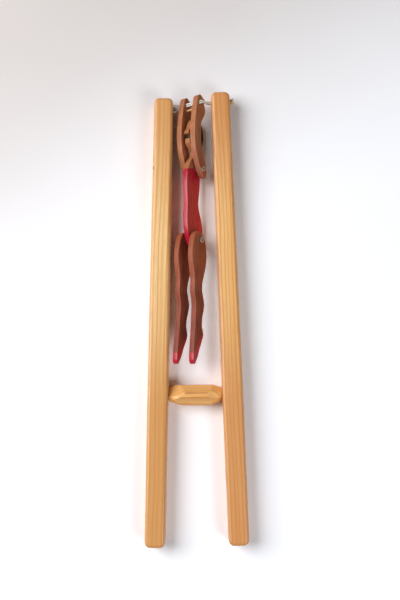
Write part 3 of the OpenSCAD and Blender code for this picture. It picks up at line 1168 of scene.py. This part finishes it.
        # Matt black under the nose: partly a painted moustache, partly painted shade filling the mouth
        # recess down to the chin
        moustache_and_mouth_shade = PaintZone(
            black, ((0.0, 1.0, 27.0), (0.0, -1.0, -24.3), (-1.0, 0.0, -4.6)), gloss=0.1
        )
        pieces = []
        for side in Side:
            node, out = f"{side.word}_arm", side.value * self.pitch / 2
            arm = StainedBoard(
                f"{node}_stained_beech", self.place(0, 0, out), self.turn().to_euler(),
                # Painted shade towards the right arm's shoulder, where the arm turns away from the lamp
                end_darkening_mm=(24.0, 2.0) if side is Side.RIGHT else None,
            )
            pieces.append(self.limb(node, Body.ARMS, Slot.STAINED_WOOD, arm, palm))
        trunk = StainedBoard(
            "torso_enamelled_beech", self.place(0, 0, 0), self.turn().to_euler(),
            (shirt, hair, moustache_and_mouth_shade),
        )
        pieces.append(self.limb("torso", Body.TORSO, Slot.RED_PAINT, trunk, (pin, hip_pin)))
        for side in Side:
            node, out = f"{side.word}_leg", side.value * self.pitch / 2
            lean = self.left_leg_lean_deg if side is Side.LEFT else 0.0
            leg = StainedBoard(
                f"{node}_stained_beech", self.place(self.hip_forward, -self.torso_reach, out),
                self.turn(lean).to_euler(), (shoe,), stain="#B5633F", deep_stain="#753222",
                # The legs are darker towards the feet
                worn_edge="#B4653F", end_darkening_tint="#964733", end_darkening_mm=(-4.0, -64.0),
            )
            pieces.append(self.limb(node, Body(node), Slot.STAINED_WOOD, leg, (pin,), lean))
        return pieces

    def build(self) -> list[Thing]:
        """Makes the figure's boards, rivets and dowel and dresses them.

        Returns:
            The finished pieces.
        """
        pieces = self.boards()
        steel = BrightSteel("rolled_rivet_steel").make()
        for node, body, centre in (
            ("shoulder_rivet", Body.ARMS, self.place(0, 0, 0)),
            ("hip_rivet", Body.TORSO, self.place(self.hip_forward, -self.torso_reach, 0)),
        ):
            piece = to_object(self.rivet(centre), f"{node}_steel")
            pieces.append(settle(piece, body, node, Slot.STEEL, steel))
        birch = HoneyPine(
            "birch_dowel", pith_mm=(0, 0, -60), lean_deg=90, ring_mm=1.1, spring_wood="#D9A878",
            summer_wood="#B98455",
        )
        piece = to_object(self.dowel(), "hand_dowel_birch", sharp_deg=50)
        pieces.append(settle(piece, Body.ARMS, "hand_dowel", Slot.HONEY_WOOD, birch.make()))
        return pieces


# The string


Route = list[tuple[Vector, str]]


@dataclass
class StringLoop:
    """One loop of twisted string, through both hands twice and knotted outside the right rail."""

    figure: Figure
    left_rail: Rail
    right_rail: Rail
    string_d: float = 1.2
    strand_gap: float = 1.6
    plies: int = 3
    plump: float = 1.08
    ply_turn: float = 3.6
    lead: float = 1.6
    palm_in: float = 0.3
    rail_lead: float = 2.8
    hidden: float = 5.0
    knot_out: float = 0.9
    knot_in: float = 0.5
    knot_close: float = 0.3
    stand: float = 0.12
    bend: float = 0.8
    step: float = 0.28
    fewest: int = 4
    knot_r: float = 1.45
    knot_swing: float = 0.55
    knot_rise: float = 0.75
    knot_steps: int = 180

    def at_rail(self, rail: Rail, x: float, height: float, up: float = 0.0) -> Vector:
        """A place on a rail, counted from its nail across and along it, at half its depth."""
        return rail.matrix() @ Vector((x, height + up, rail.depth / 2))

    def from_knot(self, up: float) -> Route:
        """Follows the strand that leaves the knot on one side and crosses to the other at the hand.

        Args:
            up: How far above the middle of the hands' holes it passes.

        Returns:
            Each point, and the stretch that starts there.
        """
        rail, hand = self.right_rail, self.figure.hand
        hole = rail.holes[0][0]
        half = rail.half_width(hole)
        mouth, palm = self.at_rail(rail, -half, hole), hand(Side.RIGHT)
        run = palm - mouth
        swing = run.cross(Vector((0, 1, 0))).normalized() * up
        middle = mouth + run / 2 + (hand(Side.RIGHT, self.lead / 2) - palm)
        return [
            (self.at_rail(rail, half + self.knot_out, hole, -self.knot_close * up), "right_end"),
            (self.at_rail(rail, half - self.knot_in, hole, -up), "right_end"),
            (self.at_rail(rail, self.hidden - half, hole, -up), "right_span"),
            (self.at_rail(rail, -half - self.rail_lead / 2, hole, -up), "right_span"),
            (self.at_rail(rail, -half - self.rail_lead, hole, -up), "right_span"),
            (middle + swing, "right_span"),
            (hand(Side.RIGHT, self.lead, up), "right_span"),
            (hand(Side.RIGHT, -self.palm_in, up), "middle"),
            (hand(Side.LEFT, -self.palm_in, up), "left_span"),
            (hand(Side.LEFT, self.lead, up), "left_span"),
        ]

    def to_left(self, height: float) -> Route:
        """Follows a strand into one hole of the left rail.

        Args:
            height: Height of the hole above the nail.

        Returns:
            Each point, and the stretch that starts there.
        """
        rail = self.left_rail
        wide = rail.half_width(height)
        return [
            (self.at_rail(rail, wide + self.rail_lead, height), "left_span"),
            (self.at_rail(rail, wide + self.rail_lead / 2, height), "left_span"),
            (self.at_rail(rail, wide - self.hidden, height), "left_loop"),
        ]

    def route(self) -> Route:
        """Follows the string from the knot to the left rail and back.

        Returns:
            Each point, and the stretch that starts there.
        """
        left, gap = self.left_rail, self.strand_gap / 2
        top, low = left.holes[0][0], left.holes[1][0]
        outside = left.groove / 2 - left.half_width(top)
        turn = [
            (self.at_rail(left, outside + inward, height), "left_loop")
            for inward, height in (
                (self.bend, top), (0.25, top - 0.3), (0.0, top - 1.3), (0.0, low + 1.3),
                (0.25, low + 0.3), (self.bend, low),
            )
        ]
        out = self.from_knot(gap) + self.to_left(top)
        places, names = zip(*(self.from_knot(-gap) + self.to_left(low)))
        # On the way back, each stretch is named at its new start
        back = list(zip(reversed(places), [*reversed(names[:-1]), names[0]]))
        return out + turn + back

    def walk(self, route: Route) -> Route:
        """Smooths a route.

        Args:
            route: Points, and the stretch that starts at each.

        Returns:
            Close points along a smooth curve, and the stretch that each lies on.
        """
        points = [p for p, _ in route]
        ends = [2 * points[0] - points[1], *points, 2 * points[-1] - points[-2]]
        fine = []
        for i, (_, name) in enumerate(route[:-1]):
            a, b, c, d = ends[i:i + 4]
            size = (c - b).length / 3
            count = max(self.fewest, int(3 * size / self.step))
            bend = interpolate_bezier(
                b, b + (c - a).normalized() * size, c - (d - b).normalized() * size, c, count + 1
            )
            fine += [(Vector(p), name) for p in bend[:-1]]
        return fine + [(points[-1], route[-2][1])]

    def twist(self, line: Sequence[Vector], radius: float) -> list[list[Vector]]:
        """Lays the plies of the string round a line.

        Args:
            line: Close points along the string's middle.
            radius: Distance of a ply's middle from it.

        Returns:
            The points of each ply.
        """
        strands = [[] for _ in range(self.plies)]
        normal, walked = Vector((0.1, 1.0, 0.2)), 0.0
        for i, point in enumerate(line):
            tangent = (line[min(i + 1, len(line) - 1)] - line[max(i - 1, 0)]).normalized()
            normal = (normal - tangent * normal.dot(tangent)).normalized()
            other = tangent.cross(normal)
            walked += (point - line[i - 1]).length if i else 0.0
            for k, strand in enumerate(strands):
                angle = math.tau * (walked / self.ply_turn + k / self.plies)
                strand.append(point + radius * (math.cos(angle) * normal + math.sin(angle) * other))
        return strands

    def tubes(self, name: str, lines: Sequence[Sequence[Vector]], radius: float) -> Thing:
        """Makes round tubes along lines.

        Args:
            name: The object's name.
            lines: Points of each tube's middle, in millimetres.
            radius: Radius of the tubes.

        Returns:
            One mesh object, in metres.
        """
        curve = bpy.data.curves.new(name, "CURVE")
        curve.dimensions = "3D"
        curve.bevel_depth = radius * MM
        curve.bevel_resolution = 2
        curve.use_fill_caps = True
        for line in lines:
            spline = curve.splines.new("POLY")
            spline.points.add(len(line) - 1)
            for spot, point in zip(spline.points, line):
                spot.co = (*(point * MM), 1.0)
        draft = new_object(f"{name}_draft", curve)
        shape = bmesh.new()
        shape.from_mesh(baked_mesh(draft))
        bpy.data.objects.remove(draft)
        bmesh.ops.scale(shape, vec=(1 / MM,) * 3, verts=shape.verts)
        bmesh.ops.remove_doubles(shape, verts=shape.verts, dist=WELD_MM)
        bmesh.ops.recalc_face_normals(shape, faces=shape.faces)
        return to_object(shape, name, sharp_deg=CORNER_DEG)

    def knot_lines(self, ply_out: float) -> list[list[Vector]]:
        """Winds the tight knot outside the right rail, with its two cut ends.

        Args:
            ply_out: Distance of a ply's middle from the string's.

        Returns:
            The points of each ply.
        """
        right = self.right_rail
        hole = right.holes[0][0]
        stand = right.half_width(hole) + self.knot_rise + self.string_d / 2 + self.stand
        flat = Matrix.Translation(self.at_rail(right, stand, hole)) @ Matrix.Rotation(math.pi / 2, 4, "Y")
        ring = []
        for i in range(self.knot_steps + 1):
            t = math.tau * i / self.knot_steps
            r = self.knot_r + self.knot_swing * math.cos(3 * t)
            spot = Vector((r * math.cos(2 * t), r * math.sin(2 * t), self.knot_rise * math.sin(3 * t)))
            ring.append(flat @ spot)
        lines = self.twist(ring, ply_out)
        for tail in (
            ((0, 0, 0), (0.2, 0.9, 0.5), (0.1, 2.0, 1.1), (-0.4, 2.9, 1.5)),
            ((0, 0, 0), (-0.5, -0.7, 0.6), (-1.2, -1.3, 1.3), (-1.7, -1.4, 2.2)),
        ):
            fine = self.walk([(flat @ Vector(p), "tail") for p in tail])
            lines += self.twist([p for p, _ in fine], ply_out)
        return lines

    def hang(self, piece: Thing, side: Side) -> None:
        """Bakes the place of a free stretch, which hangs between its rail's end and the hand, into its
        mesh.

        Args:
            piece: The stretch.
            side: Its side.
        """
        rail = self.left_rail if side is Side.LEFT else self.right_rail
        hole = rail.holes[0][0]
        near = self.at_rail(rail, -side.value * rail.half_width(hole), hole)
        hand = self.figure.hand(side)
        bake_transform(piece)

    def build(self) -> list[Thing]:
        """Makes the string's stretches and dresses them.

        Returns:
            The finished pieces.
        """
        cotton = CottonTwine().make()
        glued = CottonTwine("varnish_soaked_cotton", fibre="#F6E2B6", soiled="#E2C48C").make()
        # Three round plies that touch each other and the string's outside
        ply_r = self.string_d / 2 / (1 + 2 / math.sqrt(3))
        ply_out = self.string_d / 2 - ply_r
        fine = self.walk(self.route())
        plies = self.twist([p for p, _ in fine], ply_out)
        runs: dict[str, list[tuple[int, int]]] = {}
        start = 0
        for i in range(1, len(fine) + 1):
            if i == len(fine) or fine[i][1] != fine[start][1]:
                runs.setdefault(fine[start][1], []).append((start, min(i, len(fine) - 1)))
                start = i
        pieces = []
        for stretch, body in (
            ("left_loop", Body.LEFT_RAIL), ("middle", Body.ARMS), ("right_end", Body.RIGHT_RAIL),
            ("left_span", None), ("right_span", None),
        ):
            lines = [ply[a:b + 1] for a, b in runs[stretch] for ply in plies]
            node = f"string_{stretch}"
            piece = self.tubes(f"{node}_cotton", lines, self.plump * ply_r)
            if body is None:
                self.hang(piece, Side.LEFT if stretch == "left_span" else Side.RIGHT)
            pieces.append(settle(piece, body, node, Slot.STRING, cotton))
        knot = self.tubes("string_knot_cotton", self.knot_lines(ply_out), self.plump * ply_r)
        pieces.append(settle(knot, Body.RIGHT_RAIL, "string_knot", Slot.STRING, glued))
        return pieces


# Table, light and camera


@dataclass(frozen=True)
class Lamp:
    """A square soft lamp."""

    name: str
    place_mm: tuple[float, float, float]
    size_mm: float
    watts: float


@dataclass
class Studio:
    """White table under three soft lamps, the high left one strongest, even fill, and the camera."""

    eye_mm: tuple[float, float, float] = (3.48, -63.65, 629.5)
    tip_deg: tuple[float, float, float] = (6.783, 0.0, -0.68)
    lens_mm: float = 49.2
    sensor_mm: float = 36.0
    clip_m: tuple[float, float] = (0.01, 20.0)
    aim_mm: tuple[float, float, float] = (0.0, 20.0, 0.0)
    lamps: tuple[Lamp, ...] = (
        Lamp("left_lamp", (-930.0, 330.0, 985.0), 1100.0, 20.2),
        Lamp("right_lamp", (540.0, -480.0, 680.0), 450.0, 3.5),
        Lamp("low_lamp", (-900.0, 270.0, 300.0), 340.0, 0.8),
    )
    fill: float = 0.06
    backdrop: float = 0.85
    fill_tint: str = "#FFFDFB"
    table_half_mm: float = 1600.0
    table_drop_mm: float = 0.05

    def camera(self) -> None:
        """Sets the camera at the photograph's viewing angle."""
        data = bpy.data.cameras.new("camera")
        data.lens = self.lens_mm
        data.sensor_width = self.sensor_mm
        data.clip_start, data.clip_end = self.clip_m
        eye = new_object("camera", data)
        eye.location = Vector(self.eye_mm) * MM
        eye.rotation_euler = [math.radians(a) for a in self.tip_deg]
        bpy.context.scene.camera = eye

    def lights(self) -> None:
        """Hangs the lamps and sets the fill, with a pale backdrop that only the camera sees."""
        for lamp in self.lamps:
            data = bpy.data.lights.new(lamp.name, "AREA")
            data.shape = "SQUARE"
            data.size = lamp.size_mm * MM
            data.energy = lamp.watts
            hung = new_object(lamp.name, data)
            hung.location = Vector(lamp.place_mm) * MM
            aim = Vector(self.aim_mm) - Vector(lamp.place_mm)
            hung.rotation_euler = aim.to_track_quat("-Z", "Y").to_euler()
        world = bpy.data.worlds.new("studio")
        world.use_nodes = True
        nodes = Nodes(world.node_tree)
        seen = nodes.add("ShaderNodeLightPath", out="Is Camera Ray")
        level = nodes.ramp(seen, start=self.fill, end=self.backdrop)
        sky = world.node_tree.nodes["Background"]
        nodes.feed(sky, {"Color": srgb(self.fill_tint), "Strength": level})
        bpy.context.scene.world = world

    def table(self) -> None:
        """Lays the white table under the toy."""
        shape = bmesh.new()
        bmesh.ops.create_grid(shape, x_segments=1, y_segments=1, size=self.table_half_mm)
        top = to_object(lay(shape, Matrix.Translation((0, 0, -self.table_drop_mm))), "table_top")
        top.data.materials.append(TableTop().make())

    def build(self) -> None:
        """Sets up the view, the light and the table."""
        bpy.context.scene.view_settings.view_transform = "Standard"
        self.camera()
        self.lights()
        self.table()


def main() -> None:
    """Builds the studio and then the toy, piece by piece."""
    logging.basicConfig(level=logging.INFO, format="%(message)s")
    Studio().build()
    left_rail = Rail(
        Side.LEFT, length=340.6, nail_height=110.7, holes=((226.1, 1.9), (221.1, 1.9)),
        finish=HoneyPine(
            "left_rail_pine", pith_mm=(-62, 0, -28), lean_deg=-1.5, wear_and_falloff_tint="#CE8236",
            # Painted light falloff: pale round Y = 40 mm, painted deeper amber towards both ends
            painted_falloff_mm=(40.0, 120.0), specks_mm=((-30.4, 112.0, 15.4, 1.2),),
        ),
        groove=1.54,
    )
    right_rail = Rail(
        Side.RIGHT, length=344.0, nail_height=109.8, holes=((227.8, 3.3),),
        finish=HoneyPine(
            "right_rail_pine", pith_mm=(70, 0, -40), lean_deg=1.5, ring_mm=1.8,
            spring_wood="#FFCF8B", summer_wood="#DC9044", amber_tint="#E69E4D",
            # Painted light falloff: pale round Y = 40 mm, painted deeper amber towards both ends
            wear_and_falloff_tint="#CC7A3A", painted_falloff_mm=(40.0, 120.0),
        ),
    )
    figure = Figure()
    pieces = [left_rail.build(), right_rail.build()]
    pieces += Crossbar().build() + figure.build()
    pieces += StringLoop(figure, left_rail, right_rail).build()
    log.info("%d pieces dressed", len(pieces))


if __name__ == "__main__":
    main()
